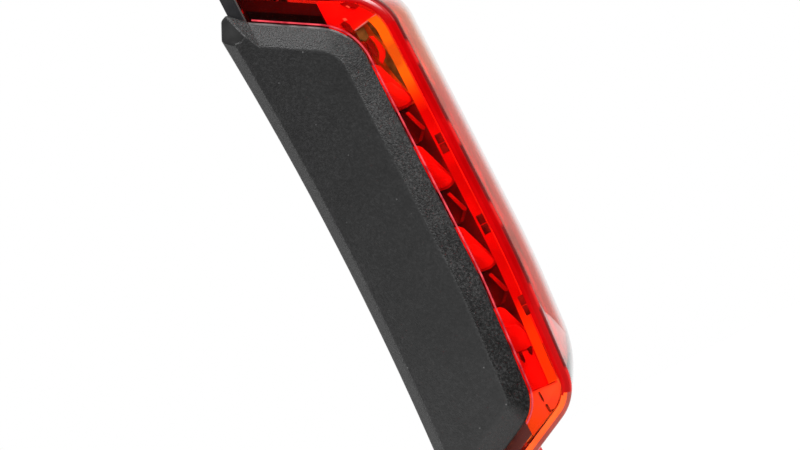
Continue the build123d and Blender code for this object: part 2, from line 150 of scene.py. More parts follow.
def applyModifier(piece, kind, settings):
    only(piece)
    modifier = piece.modifiers.new(kind, kind)
    for key, value in settings.items():
        setattr(modifier, key, value)
    bpy.ops.object.modifier_apply(modifier=modifier.name)


def soften(piece, width, segments=3, angle=28):
    # small rounded edges, as a mould leaves them
    applyModifier(piece, "BEVEL", {
        "width": width * mm, "segments": segments, "limit_method": "ANGLE",
        "angle_limit": math.radians(angle), "use_clamp_overlap": True,
    })


def smooth(piece, angle=32):
    only(piece)
    bpy.ops.object.shade_smooth_by_angle(angle=math.radians(angle))


def bar(name, start, end, radius, sides):
    # round bar between two places, upright or along Y
    reach = [b - a for a, b in zip(start, end)]
    pickNothing()
    bpy.ops.mesh.primitive_cylinder_add(
        vertices=sides, radius=radius * mm, depth=sum(abs(c) for c in reach) * mm,
        rotation=(math.pi / 2 if reach[1] else 0, 0, 0),
        location=[(a + b) / 2 * mm for a, b in zip(start, end)])
    return added(name)


def block(name, low, high):
    # box between two corners, to be shaped further
    pickNothing()
    bpy.ops.mesh.primitive_cube_add(
        size=1, location=[(a + b) / 2 * mm for a, b in zip(low, high)],
        scale=[(b - a) * mm for a, b in zip(low, high)])
    return added(name)


def cutWith(piece, tool, operation="DIFFERENCE"):
    applyModifier(piece, "BOOLEAN", {"operation": operation, "solver": "EXACT", "object": tool})
    bpy.data.objects.remove(tool)


def joinInto(piece, others):
    only(piece)
    for other in others:
        other.select_set(True)
    bpy.ops.object.join()
    return piece


def duplicated(piece, name):
    # copy with its own mesh, open in edit mode
    only(piece)
    bpy.ops.object.duplicate()
    other = bpy.context.active_object
    other.name = name
    openWhole(other)
    return other


def mirrored(piece, name):
    # copy on the other side, with its faces outwards
    other = duplicated(piece, name)
    bpy.ops.transform.resize(value=(-1, 1, 1), center_override=(0, 0, 0))
    bpy.ops.mesh.flip_normals()
    closeEdit()
    return other


def copied(piece, name, step):
    other = duplicated(piece, name)
    bpy.ops.transform.translate(value=metres(step))
    closeEdit()
    return other


def trim(piece, place, normal, cut=True):
    # cuts the piece at a plane and closes it; the side that the normal points to goes
    openWhole(piece)
    bpy.ops.mesh.bisect(
        plane_co=metres(place), plane_no=normal, use_fill=cut, clear_outer=cut, threshold=cutReach * mm)
    closeEdit()


def score(piece, place, normal):
    # leaves a line of edges round the piece and takes nothing away
    trim(piece, place, normal, cut=False)


def settle(piece, node):
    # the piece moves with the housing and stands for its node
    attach(piece, "housing")
    if node:
        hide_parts(node)


def settlePair(right, name, nodePair):
    # the right piece gets its mirror on the left, and both are settled
    right.name = name + "Right"
    left = mirrored(right, name + "Left")
    for piece, node in zip((right, left), nodePair):
        settle(piece, node)


def backCurve(z):
    return light["mudguardRadius"] - math.sqrt(light["mudguardRadius"] ** 2 - z ** 2)


def onTopSlope(y, high):
    # place on the line of the top slope that starts from the seat at this height
    return y, high - (light["seat"] - y) * math.tan(topSlope)


def lowCorner(front, lowest):
    # where the leaning front meets the bottom slope
    y = front + (light["leanFrom"] - lowest - light["seat"] * math.tan(bottomSlope)) * math.tan(lean)
    y = y / (1 - math.tan(bottomSlope) * math.tan(lean))
    return y, lowest + (light["seat"] - y) * math.tan(bottomSlope)


def rounded(corners, radii, steps):
    # side outline with its corners rounded; a radius of 0 keeps a corner
    points = []
    for i, ((y, z), radius) in enumerate(zip(corners, radii)):
        if radius == 0:
            points.append((y, z))
            continue
        before, after = corners[i - 1], corners[(i + 1) % len(corners)]
        first, second = [math.atan2(b - z, a - y) for a, b in (before, after)]
        opening = (second - first + math.pi) % (2 * math.pi) - math.pi
        away = radius / math.sin(abs(opening) / 2)
        middle = first + opening / 2
        centreY, centreZ = y + away * math.cos(middle), z + away * math.sin(middle)
        # the arc starts square to the first side and turns the short way to the second
        start = first - math.copysign(math.pi / 2, opening)
        sweep = opening - math.copysign(math.pi, opening)
        for k in range(steps + 1):
            angle = start + sweep * k / steps
            points.append((centreY + radius * math.cos(angle), centreZ + radius * math.sin(angle)))
    return points


# finishes: patterns read the place on the piece, so they stay on it when it moves

def feed(node, inputs):
    # an input takes a fixed value or another node's output
    for key, value in inputs.items():
        if isinstance(value, bpy.types.NodeSocket):
            node.id_data.links.new(value, node.inputs[key])
        else:
            node.inputs[key].default_value = value


def addNode(tree, kind, inputs=None, output=0, **settings):
    node = tree.nodes.new("ShaderNode" + kind)
    for key, value in settings.items():
        setattr(node, key, value)
    feed(node, inputs or {})
    return node.outputs[output]


def newFinish(name, sockets=None):
    material = bpy.data.materials.new(name)
    material.use_nodes = True
    shader = material.node_tree.nodes["Principled BSDF"]
    for key, value in (sockets or {}).items():
        shader.inputs[key].default_value = value
    return material, material.node_tree, shader


def placeOn(tree):
    return addNode(tree, "TexCoord", output="Object")


def axis(tree, name, kind="Object"):
    # one axis of the place, or of the normal
    return addNode(tree, "SeparateXYZ", {"Vector": addNode(tree, "TexCoord", output=kind)}, output=name)


def noisy(tree, scale, detail=3, roughness=0.5):
    return addNode(tree, "TexNoise", {
        "Vector": placeOn(tree), "Scale": scale, "Detail": detail, "Roughness": roughness})


def cells(tree, scale, randomness=1.0):
    return addNode(tree, "TexVoronoi", {"Vector": placeOn(tree), "Scale": scale, "Randomness": randomness})


def ramp(tree, source, stops):
    colours = addNode(tree, "ValToRGB", {"Fac": source})
    band = colours.node.color_ramp
    while len(band.elements) < len(stops):
        band.elements.new(0.5)
    for element, (place, colour) in zip(band.elements, stops):
        element.position = place
        element.color = (*colour, 1)
    return colours


def shades(tree, source, stops):
    return ramp(tree, source, [(place, (grey, grey, grey)) for place, grey in stops])


def mapped(tree, source, ends, starts=(0.0, 1.0), **settings):
    return addNode(tree, "MapRange", {
        "Value": source, "From Min": starts[0], "From Max": starts[1], "To Min": ends[0], "To Max": ends[1]},
        **settings)


def beyond(tree, zone):
    # grows from 0 at one height to 1 at another
    return mapped(tree, axis(tree, "Z"), (0.0, 1.0), metres(zone))


def maths(tree, operation, *values):
    return addNode(tree, "Math", dict(enumerate(values)), operation=operation)


def mixed(tree, share, first, second):
    return addNode(tree, "Mix", {"Factor": share, 6: first, 7: second}, output=2, data_type="RGBA")


def surfaced(tree, shader, grain, rough, bump, depth, height=None):
    # roughness and bumps of the surface follow one pattern
    bumps = addNode(tree, "Bump", {"Strength": bump, "Distance": depth * mm, "Height": height or grain})
    feed(shader, {"Roughness": mapped(tree, grain, rough), "Normal": bumps})


def grained(tree, shader, grain, rough, bump, depth):
    surfaced(tree, shader, noisy(tree, grain, 2), rough, bump, depth)


def plainFinish(name, dark, pale, cloud, grain, rough, bump, depth, sockets=None):
    # colour, roughness and surface all vary a little, each at its own scale
    material, tree, shader = newFinish(name, sockets)
    feed(shader, {"Base Color": ramp(tree, noisy(tree, cloud, 4), [(0.35, dark), (0.65, pale)])})
    grained(tree, shader, grain, rough, bump, depth)
    return material


metal = {"Metallic": 1.0}
faint, dull, soft, mild = [{"Specular IOR Level": level} for level in (0.06, 0.1, 0.12, 0.16)]

# grain's scale, roughness, strength and depth of the bumps
satin = (4000, (0.3, 0.45), 0.1, 0.01)
glossy = (2500, (0.1, 0.2), 0.02, 0.01)
polished = (2500, (0.06, 0.12), 0.02, 0.01)

# dark and pale colour, cloud's scale, then the grain and its surface, and other sockets
plainFinishes = {
    "coverRimPaintedHighlight": ((0.006, 0.006, 0.006), (0.07, 0.065, 0.065), 700, 3600, (0.4, 0.55), 0.2, 0.02),
    "coverPaintedShade": ((0.003, 0.003, 0.003), (0.01, 0.01, 0.01), 500, 3600, (0.5, 0.65), 0.2, 0.02, soft),
    "blackPlastic": ((0.008, 0.008, 0.009), (0.016, 0.016, 0.017), 200, 2600, (0.34, 0.5), 0.25, 0.02, mild),
    "padRubber": ((0.012, 0.012, 0.012), (0.026, 0.026, 0.025), 300, 3600, (0.72, 0.88), 0.4, 0.03),
    "sealRubber": ((0.02, 0.02, 0.02), (0.035, 0.035, 0.034), 400, 3000, (0.6, 0.75), 0.2, 0.02),
    "buttonRubber": ((0.35, 0.008, 0.01), (0.45, 0.012, 0.014), 400, 3800, (0.55, 0.7), 0.3, 0.02),
    "brass": ((0.62, 0.42, 0.16), (0.78, 0.57, 0.26), 900, 4200, (0.22, 0.38), 0.2, 0.01, metal),
    "steel": ((0.46, 0.46, 0.47), (0.62, 0.62, 0.63), 700, 5200, (0.2, 0.34), 0.15, 0.008, metal),
    "contactGold": ((0.7, 0.5, 0.2), (0.86, 0.66, 0.32), 700, 5200, (0.18, 0.3), 0.1, 0.006, metal),
    "boardLaminate": ((0.02, 0.1, 0.05), (0.03, 0.16, 0.08), 500, 3000, (0.3, 0.45), 0.2, 0.01),
    "chipEpoxy": ((0.012, 0.012, 0.013), (0.022, 0.022, 0.023), 900, 6000, (0.5, 0.65), 0.3, 0.01),
    "chipCeramic": ((0.03, 0.028, 0.026), (0.5, 0.45, 0.38), 1500, 6000, (0.35, 0.5), 0.2, 0.01),
    "canAluminium": ((0.55, 0.55, 0.56), (0.7, 0.7, 0.71), 700, 5200, (0.25, 0.4), 0.15, 0.008, metal),
    "ledBody": ((0.7, 0.55, 0.2), (0.85, 0.8, 0.6), 1200, 4000, (0.2, 0.35), 0.1, 0.01),
    "switchPlastic": ((0.4, 0.38, 0.34), (0.52, 0.5, 0.45), 900, 4000, (0.4, 0.55), 0.2, 0.01),
    "reflectorBright": ((0.7, 0.012, 0.012), (0.88, 0.03, 0.02), 350, 4000, (0.3, 0.45), 0.06, 0.01, dull),
    # painted shade: darker copies of the reflector's red, for hollows, dim ridges, dark facets and the strip
    # behind the cells
    "reflectorPaintedHalfShade": ((0.22, 0.003, 0.004), (0.36, 0.006, 0.006), 420, *satin),
    "reflectorPaintedShade": ((0.16, 0.002, 0.004), (0.3, 0.004, 0.006), 420, *satin),
    "reflectorPaintedDeepShade": ((0.07, 0.001, 0.001), (0.19, 0.003, 0.003), 420, *satin),
    "capPaintedBacklight": ((0.95, 0.13, 0.16), (1.0, 0.2, 0.06), 200, *satin, dull),
    "guideMark": ((0.02, 0.006, 0.006), (0.22, 0.03, 0.03), 900, *satin),
    "edgeRed": ((0.26, 0.0, 0.0005), (0.33, 0.0005, 0.001), 220, *polished, faint),
    "edgeDark": ((0.22, 0.0, 0.0005), (0.28, 0.0005, 0.001), 220, *polished, faint),
    "edgeShine": ((0.22, 0.0, 0.0005), (0.28, 0.0005, 0.001), 220, *polished),
    "beadRed": ((0.26, 0.012, 0.02), (0.62, 0.06, 0.075), 700, *glossy, soft),
    "beadDeep": ((0.12, 0.005, 0.01), (0.28, 0.014, 0.024), 700, 2500, (0.2, 0.3), 0.02, 0.01, faint),
    "edgeBrown": ((0.2, 0.035, 0.028), (0.3, 0.048, 0.036), 300, *glossy, faint),
    "stripPaintedShade": ((0.001, 0.0005, 0.0005), (0.006, 0.001, 0.002), 160, 2600, (0.5, 0.7), 0.2, 0.02, faint),
    "trayPlastic": ((0.024, 0.0015, 0.003), (0.045, 0.002, 0.005), 160, 2600, (0.4, 0.55), 0.2, 0.02, dull),
    "edgePaintedBacklight": ((0.8, 0.06, 0.012), (0.92, 0.09, 0.016), 300, *glossy, faint),
    "cellPaintedBacklight": ((0.4, 0.16, 0.03), (0.85, 0.33, 0.04), 620, *satin),
    "cellOlivePaintedShade": ((0.07, 0.11, 0.05), (0.26, 0.36, 0.2), 800, *satin),
    "paintedGlint": ((0.75, 0.6, 0.55), (0.95, 0.92, 0.85), 900, *satin),
    "ledge": ((0.4, 0.34, 0.75), (0.6, 0.5, 1.0), 900, *satin),
    "edgePink": ((0.4, 0.06, 0.055), (0.52, 0.1, 0.095), 300, *glossy, faint),
}
finishes = {name: plainFinish(name, *settings) for name, settings in plainFinishes.items()}

# zones are in millimetres from the middle of the light, and stops are pairs of a place and a shade
coverFinish = {
    "face": [(0.42, (0.0008, 0.0008, 0.0009)), (0.66, (0.003, 0.003, 0.0031)), (0.9, (0.009, 0.009, 0.0092))],
    "front": [(0.44, (0.0003, 0.0003, 0.0003)), (0.62, (0.004, 0.004, 0.004)), (0.86, (0.026, 0.026, 0.026))],
    "grainSize": 3600,
    "mottleSize": 240,
    "mottleShare": 0.3,
    "speck": (0.1, 0.1, 0.1, 1),
    "speckSize": 560,
    "speckStops": [(0.0, 1), (0.055, 0)],
    "pitSize": 5600,
    "rough": (0.42, 0.56),
    "faceGrain": 0.25,
    "bevelGrain": 0.8,
    "grainDepth": 0.09,
    "facing": (-0.25, -0.42),    # how far a face looks forward before it counts as the front bevel
    "paintedShine": (0.12, 0.6),        # painted shade: share of the gloss left on the front bevel, at its foot and at its head
    "paintedShineZone": (-18, 15),
    "paintedFlatShine": (0.72, 1.0),    # and on the flat face, at its head and at its foot; painted light, brighter towards the foot
    "paintedFlatZone": (20, -20),
}


def makeCoverFinish(name, grainStrength, flat):
    f = coverFinish
    material, tree, shader = newFinish(name)
    grain = noisy(tree, f["grainSize"], 3, 0.7)
    # fine mottling, a little stronger in some places than in others
    spread = maths(tree, "MULTIPLY_ADD", noisy(tree, f["mottleSize"], 3), f["mottleShare"], grain)
    # the bevel that faces forward is coarser; its own paler colours are painted light, and its gloss fades
    # towards its foot as painted shade
    forward = mapped(tree, axis(tree, "Y", "Normal"), (0.0, 1.0), f["facing"])
    height = axis(tree, "Z")
    paintedShine = mapped(tree, height, f["paintedShine"], metres(f["paintedShineZone"]))
    whole = mapped(tree, height, f["paintedFlatShine"], metres(f["paintedFlatZone"])) if flat else 1.0
    gloss = addNode(tree, "Mix", {"Factor": forward, 2: whole, 3: paintedShine}, data_type="FLOAT")
    base = mixed(tree, forward, ramp(tree, spread, f["face"]), ramp(tree, spread, f["front"]))
    # a few pale specks stand out of the texture
    specks = shades(tree, cells(tree, f["speckSize"]), f["speckStops"])
    feed(shader, {"Specular Tint": gloss, "Base Color": mixed(tree, specks, base, f["speck"])})
    pitted = maths(tree, "ADD", grain, cells(tree, f["pitSize"]))
    surfaced(tree, shader, grain, f["rough"], grainStrength, f["grainDepth"], pitted)
    return material


lensFinish = {
    "ior": 1.49,
    "dye": [(0.3, (0.92, 0.085, 0.05)), (0.7, (0.96, 0.12, 0.07))],
    "dyeSize": 60,
    # painted light from behind: the amber colour and the heights where it shows
    "amber": (0.98, 0.4, 0.16, 1),
    "backlitAmberZone": (-31, 31),
    "backlitAmberStops": [(0.0, 1), (0.157, 1), (0.164, 0), (0.66, 0), (0.71, 0.75), (0.815, 0.75), (0.825, 0)],
    "streak": (0.2, 0.14, 0.05, 1),
    "streakSize": 1500,
    "streakDrawn": (0.45, 0.3, 0.14),
    "streakStops": [(0.48, 0), (0.56, 1)],
    "streakZone": (12.6, 15.9),
    "streakFade": [(0.0, 0), (0.2, 1), (0.8, 1), (1.0, 0)],
    "hazeSize": 900,
    "rough": (0.012, 0.03),
}


def makeLensFinish():
    f = lensFinish
    material, tree, shader = newFinish("redLens", {"Transmission Weight": 1.0, "IOR": f["ior"]})
    # lengthwise streaks where the crown turns to the side
    drawn = addNode(tree, "Mapping", {"Vector": placeOn(tree), "Scale": f["streakDrawn"]})
    fibre = addNode(tree, "TexNoise", {"Vector": drawn, "Scale": f["streakSize"], "Detail": 2})
    across = mapped(tree, maths(tree, "ABSOLUTE", axis(tree, "X")), (0.0, 1.0), metres(f["streakZone"]))
    streaks = maths(
        tree, "MULTIPLY", shades(tree, fibre, f["streakStops"]), shades(tree, across, f["streakFade"]))
    # painted light: amber where light from behind shines through, at the lower corner and beside the top cell
    dye = ramp(tree, noisy(tree, f["dyeSize"], 2), f["dye"])
    dyeAndPaintedBacklight = mixed(tree, shades(tree, beyond(tree, f["backlitAmberZone"]), f["backlitAmberStops"]), dye, f["amber"])
    feed(shader, {
        "Base Color": mixed(tree, streaks, dyeAndPaintedBacklight, f["streak"]),
        "Roughness": mapped(tree, noisy(tree, f["hazeSize"], 3), f["rough"])})
    return material


rimFinish = {
    "gloss": 0.06,
    "plain": [(0.35, (0.05, 0.0, 0.0)), (0.65, (0.12, 0.001, 0.001))],
    "plainSize": 300,
    "bright": (0.36, 0.004, 0.003, 1),
    "brightStops": [(0.32, 0), (0.38, 1), (0.6, 1), (0.66, 0)],    # along each cell
    "top": 19.3,           # the bright places repeat with the cells below this height
    "pitch": 9.1,
    "surface": glossy,
}


def makeRimFinish():
    # dark red line along the rim, bright beside the middle of every cell
    f = rimFinish
    material, tree, shader = newFinish("rimMaroon", {"Specular IOR Level": f["gloss"]})
    plain = ramp(tree, noisy(tree, f["plainSize"], 4), f["plain"])
    inCells = maths(tree, "MULTIPLY_ADD", axis(tree, "Z"), -1 / (f["pitch"] * mm), f["top"] / f["pitch"])
    bright = shades(tree, maths(tree, "FRACT", inCells), f["brightStops"])
    feed(shader, {"Base Color": mixed(tree, bright, plain, f["bright"])})
    grained(tree, shader, *f["surface"])
    return material


guideFinish = {
    "reds": [(0.35, (0.5, 0.005, 0.003)), (0.65, (0.72, 0.012, 0.006))],
    "redSize": 240,
    "backlitAmbers": [(0.34, (0.55, 0.24, 0.03)), (0.48, (1.0, 0.36, 0.02))],
    "amberSize": 330,
    "backlitAmberZone": (9.0, 12.5),
    "backlitLowOrange": (1.0, 0.34, 0.02, 1),
    "lowZone": (-12.0, -15.5),
    "surface": (4000, (0.1, 0.2), 0.05, 0.01),
}


def makeGuideFinish():
    # clear bar that carries the red of the lens, turned amber at its ends by painted light from behind
    f = guideFinish
    material, tree, shader = newFinish("guide")
    reds = ramp(tree, noisy(tree, f["redSize"], 3), f["reds"])
    backlitAmbers = ramp(tree, noisy(tree, f["amberSize"], 2), f["backlitAmbers"])
    upper = mixed(tree, beyond(tree, f["backlitAmberZone"]), reds, backlitAmbers)
    feed(shader, {"Base Color": mixed(tree, beyond(tree, f["lowZone"]), upper, f["backlitLowOrange"])})
    grained(tree, shader, *f["surface"])
    return material


reflexFinish = {
    "gloss": 0.15,
    "tile": (1.2, 4.55),
    "tints": [(0.0, (0.6, 0.09, 0.05)), (0.4, (0.9, 0.09, 0.06)), (1.0, (1.0, 0.1, 0.07))],
    "prismSize": 900,
    "prismSpread": 0.15,
    "surface": ((0.18, 0.32), 0.5, 0.08),    # roughness, strength and depth of the bumps
}


def makeReflexFinish():
    # prism tiles, each with its own tint, longer than they are wide
    f = reflexFinish
    material, tree, shader = newFinish("reflexPrisms", {"Specular IOR Level": f["gloss"]})
    width, length = metres(f["tile"])
    inTiles = addNode(tree, "Mapping", {"Vector": placeOn(tree), "Scale": (1 / width, 0, 1 / length)})
    tile = addNode(tree, "VectorMath", {0: inTiles}, operation="FLOOR")
    feed(shader, {"Base Color": ramp(tree, addNode(tree, "TexWhiteNoise", {"Vector": tile}), f["tints"])})
    surfaced(tree, shader, cells(tree, f["prismSize"], f["prismSpread"]), *f["surface"])
    return material


trayLow = {
    "zone": (-22.0, -22.3),
    "colour": (0.11, 0.105, 0.28, 1),
}


def tintBelow(material, settings):
    # another colour below a height, over what the finish has already
    tree = material.node_tree
    shader = tree.nodes["Principled BSDF"]
    above = shader.inputs["Base Color"].links[0].from_socket
    feed(shader, {"Base Color": mixed(tree, beyond(tree, settings["zone"]), above, settings["colour"])})


finishes["coverPlastic"] = makeCoverFinish("grainedPlastic", coverFinish["faceGrain"], True)
finishes["coverEdge"] = makeCoverFinish("grainedEdge", coverFinish["bevelGrain"], False)
finishes["redLens"] = makeLensFinish()
finishes["rimMaroon"] = makeRimFinish()
finishes["guide"] = makeGuideFinish()
finishes["reflexPrisms"] = makeReflexFinish()
tintBelow(finishes["trayPlastic"], trayLow)

nodeFinish = {
    "blackPlastic": ("base_plate", "optic_carrier"),
    "padRubber": ("mounting_pad",),
    "brass": ("threaded_inserts",),
    "coverPlastic": ("cheek_right", "cheek_left"),
    "redLens": ("lens",),
    "sealRubber": ("lens_seal",),
    "steel": ("lens_screw", "coin_cell_can", "coin_cell_cap", "board_screws"),
    "trayPlastic": ("inner_tray",),
    "contactGold": ("positive_contact", "negative_contact"),
    "boardLaminate": ("circuit_board",),
    "chipEpoxy": ("driver_chip",),
    "canAluminium": ("capacitors",),
    "chipCeramic": ("resistors",),
    "ledBody": ("leds_right", "leds_left"),
    "reflexPrisms": ("retroreflector",),
    "reflectorBright": ("side_reflector_right", "side_reflector_left"),
    "guide": ("light_guide_right", "light_guide_left"),
    "switchPlastic": ("switch_body", "switch_plunger"),
    "buttonRubber": ("button_cap",),
}


def dress(piece, *finishNames):
    piece.data.materials.clear()
    for finishName in finishNames:
        piece.data.materials.append(finishes[finishName])


def paint(piece, slotNumber, test):
    # gives the faces that pass the test another of the piece's finishes
    for face in piece.data.polygons:
        if test(face.center / mm, face.normal):
            face.material_index = slotNumber


for finishName, nodeNames in nodeFinish.items():
    for nodeName in nodeNames:
        dress(nodes[nodeName], finishName)
print("finishes made:", len(finishes))


# the red lens: rim outline drawn in side view, pulled across and crowned, then walled

lensShape = {
    "rows": 20,
    "crown": 1.95,
    "endCrown": (1.05, 0.35),    # how far the middle reaches beyond the rim, above and below
    "wall": 1.1,
    "topRadius": (6.0, 5.0),    # at the rim and at the middle of the crown
    "leanRadius": (120.0, 120.0),
    "bottomRadius": (4.0, 11.0),
    "arcSteps": 12,
    "rimRound": 1.0,
    "roundSteps": 8,
    "edgeBands": (0.12, 0.53, 0.4),    # what the wall shows where it is seen edge-on
    "lowBand": 0.52,       # the outermost of them is this wide below the low zone
    "turned": 0.42,
    "lowZone": -22.5,
    "shineFrom": 18.5,
    "roundFrom": 16.02,    # the side wall and its rounded rim lie beyond this
    "lowCrown": 9.0,
    "lowTurn": -0.3,
    "screwPlace": (0, -4.6),
    "bossRadius": 2.8,
    "bossFoot": 25.9,
    "bossSunk": 0.15,      # the boss ends this far below the sloped top
    "screwSeat": 26.8,
    "recessRadius": 2.0,
    "holeRadius": 1.1,
    "sides": 40,
    "overrun": 3.0,        # how far a cutting tool reaches past the lens
    "windowPlace": (0, -7.35),
    "windowLength": 8.3,
    "windowWidth": 3.7,
    "windowRound": 1.75,
    "windowSteps": 8,
    "windowTop": -24.5,
}


def rimCorners(inset, crown):
    front = light["rimFront"] - lensShape["crown"] * crown + inset
    highest = light["top"] + lensShape["endCrown"][0] * crown - inset / math.cos(topSlope)
    lowest = light["bottom"] - lensShape["endCrown"][1] * crown + inset / math.cos(bottomSlope)
    return [
        (light["seat"], highest), onTopSlope(front, highest), (front, light["leanFrom"]),
        lowCorner(front, lowest), (light["seat"], lowest)]


def rimSide(inset=0.0, crown=0.0):
    # rim outline in side view, drawn in by the inset and grown by its share of the crown
    radii = [0]
    for name in ("topRadius", "leanRadius", "bottomRadius"):
        atRim, atMiddle = lensShape[name]
        radii.append(atRim + (atMiddle - atRim) * crown - inset)
    return rounded(rimCorners(inset, crown), radii + [0], lensShape["arcSteps"])


def crownedSlab(name, inset, half, rows):
    # one side outline for each row, grown to the crown, and each bridged to the next
    places = [-half + 2 * half * row / rows for row in range(rows + 1)]
    loops = []
    for x in places:
        side = rimSide(inset, 1 - (x / light["halfWidth"]) ** 2)
        loops.append(drawOutline(name, [(x, y, z) for y, z in side]))
        if x not in (places[0], places[-1]):
            bpy.ops.mesh.delete(type="ONLY_FACE")
        closeEdit()
    slab = joinInto(loops[0], loops[1:])
    openEdit(slab)
    for low, high in zip(places, places[1:]):
        pick(slab, "EDGE", lambda a, b: abs(a.x - b.x) < nearly and low - nearly < a.x < high + nearly)
        bpy.ops.mesh.bridge_edge_loops()
    bpy.ops.mesh.select_all(action="SELECT")
    bpy.ops.mesh.normals_make_consistent(inside=False)
    return slab


def makeLens():
    half = light["halfWidth"]
    lens = crownedSlab("lensShell", 0, half, lensShape["rows"])
    pick(lens, "FACE", lambda c, n: abs(c.y - light["seat"]) < nearly)
    bpy.ops.mesh.delete(type="FACE")
    closeEdit()
    applyModifier(lens, "SOLIDIFY", {
        "thickness": lensShape["wall"] * mm, "offset": -1.0, "use_even_offset": True})
    # the sharp outer rim of both side walls gets its round
    openEdit(lens)
    pick(lens, "EDGE", lambda a, b: (
        abs(abs(a.x) - half) < nearly and abs(abs(b.x) - half) < nearly
        and a.x * b.x > 0 and min(a.y, b.y) < light["seat"] - nearly))
    bpy.ops.mesh.bevel(offset=lensShape["rimRound"] * mm, segments=lensShape["roundSteps"], profile=0.5)
    closeEdit()
    return lens


def openLens(lens):
    # boss, recess and hole of the screw in the top slope, window of the button in the bottom one
    s = lensShape
    highest, lowest = light["top"] + s["overrun"], light["bottom"] - s["overrun"]

    def screwBar(name, low, high, radius):
        return bar(name, (*s["screwPlace"], low), (*s["screwPlace"], high), radius, s["sides"])

    boss = screwBar("boss", s["bossFoot"], highest, s["bossRadius"])
    bossEnd = light["top"] + s["endCrown"][0] - s["bossSunk"]
    trim(boss, (0, light["seat"], bossEnd), (0, -math.tan(topSlope), 1))
    cutWith(lens, boss, "UNION")
    cutWith(lens, screwBar("recess", s["screwSeat"], highest, s["recessRadius"]))
    cutWith(lens, screwBar("hole", s["bossFoot"] - s["overrun"], highest, s["holeRadius"]))
    x, y = s["windowPlace"]
    halfX, halfY = s["windowLength"] / 2, s["windowWidth"] / 2
    corners = [(x + halfX * a, y + halfY * b) for a, b in ((-1, -1), (1, -1), (1, 1), (-1, 1))]
    side = rounded(corners, [s["windowRound"]] * 4, s["windowSteps"])
    window = drawOutline("window", [(*place, lowest) for place in side])
    pull((0, 0, s["windowTop"] - lowest))
    closeEdit()
    tidyNormals(window)
    cutWith(lens, window)


def rimDistance(y, z):
    # how far a place in the side view lies inside the rim outline
    reaches = []
    for (ya, za), (yb, zb) in zip(outerRim, outerRim[1:]):
        dy, dz = yb - ya, zb - za
        along = max(0, min(1, ((y - ya) * dy + (z - za) * dz) / (dy * dy + dz * dz)))
        reaches.append(math.hypot(y - ya - dy * along, z - za - dz * along))
    return min(reaches)


def bandOf(centre, normal):
    # which band of the rim's round a face lies in, counted from the outer edge; inside them none
    edge = rimDistance(centre.y, centre.z)
    low = centre.z < lensShape["lowZone"] and edge < lensShape["lowBand"]
    if low or abs(normal.x) < lensShape["turned"]:
        return 0
    reach = 0
    for number, width in enumerate(lensShape["edgeBands"]):
        reach += width
        if edge < reach:
            return number


outerRim = rimSide()
lensShell = makeLens()
openLens(lensShell)
smooth(lensShell, 30)
applyModifier(lensShell, "WEIGHTED_NORMAL", {"keep_sharp": True, "weight": 100})
dress(
    lensShell, "redLens", "edgeRed", "edgeDark", "edgePink", "edgeBrown", "rimMaroon", "edgePaintedBacklight",
    "edgeShine")
# the rim's round: a finish's number, the heights between which it lies, and its bands
s = lensShape
lowZone, shineFrom = s["lowZone"], s["shineFrom"]
# below the low zone, finish 6 is orange, painted light from behind
for number, lowest, highest, bands in (
        (1, lowZone, math.inf, (2,)), (2, lowZone, math.inf, (1,)), (5, lowZone, math.inf, (0,)),
        (4, -math.inf, lowZone, (0,)), (6, -math.inf, lowZone, (1, 2)), (7, shineFrom, math.inf, (1, 2))):
    paint(lensShell, number, lambda c, n: (
        abs(c.x) > s["roundFrom"] and c.y < light["seat"] - nearly
        and lowest < c.z <= highest and bandOf(c, n) in bands))
paint(lensShell, 3, lambda c, n: (
    s["lowCrown"] < abs(c.x) < s["roundFrom"] and c.z <= lowZone and n.z < s["lowTurn"]))
lensShell.visible_shadow = False
settle(lensShell, "lens")
print("lens made:", len(lensShell.data.polygons), "faces")


# side covers: drawn twice, once at the foot and once for the flat face, and bridged

coverShape = {
    "inner": 17.1,
    "foot": 17.5,
    "outer": 18.7,
    "bevel": 2.4,
    "backBevel": 0.85,
    "earShadeFrom": 22.8,
    "depth": 11.35,
    "top": 25.0,
    "bottom": -26.4,
    "topRadius": 5.8,
    "bottomRadius": 4.0,
    "leanRadius": 60,
    "earRise": 1.6,
    "earDepth": 0.7,
    "heelDrop": 0.5,
    "cornerRound": 0.3,
    "arcSteps": 10,
    "backSteps": 18,
    "flangeWidth": 4.5,
    "flangeLap": 0.05,
    "flangeFront": -0.8,
    "edgeRound": 0.2,
    "flangeLow": 0.9,
    "flangeRound": 0.18,
    "pegPlaces": (-18, 0, 18),
    "pegIn": 1.6,
    "pegSpan": (-1.9, -0.5),
    "pegRadius": 1.0,
    "pegSides": 24,
    "flatTurn": 0.97,      # a face that looks aside more than this is the flat one
    "paintedHighlightFrom": -2.5,
    "paintedHighlightReach": 0.2,
    "paintedHighlightTurn": (0.1, 0.85),
    "paintedHighlightUp": 0.3,
    "earShadeFront": -1.3,
    "earShadeTurn": 0.5,
}


def coverOutline(inset, backInset):
    s = coverShape
    topCut, front = inset / math.cos(topSlope), inset - s["depth"]
    base = s["bottom"] + inset / math.cos(bottomSlope)
    heel = s["top"] - s["heelDrop"] - backInset
    toeY = backCurve(s["bottom"]) - backInset
    toe = base - (toeY - light["seat"]) * math.tan(bottomSlope)
    corners = [
        (backCurve(heel) - backInset, heel),
        (-backInset, s["top"] + s["earRise"] - s["cornerRound"] - topCut),
        (-s["earDepth"] - backInset, s["top"] + s["earRise"] - topCut),
        (light["seat"], s["top"] - topCut),
        onTopSlope(front, s["top"] - topCut),
        (front, light["leanFrom"]),
        lowCorner(front, base),
        (toeY, toe),
    ]
    radii = [0, 0, 0, s["cornerRound"], s["topRadius"] - inset, s["leanRadius"], s["bottomRadius"] - inset, 0]
    points = rounded(corners, radii, s["arcSteps"])
    steps = s["backSteps"]
    for k in range(1, steps):
        z = toe + (heel - toe) * k / steps
        points.append((backCurve(z) - backInset, z))
    return points


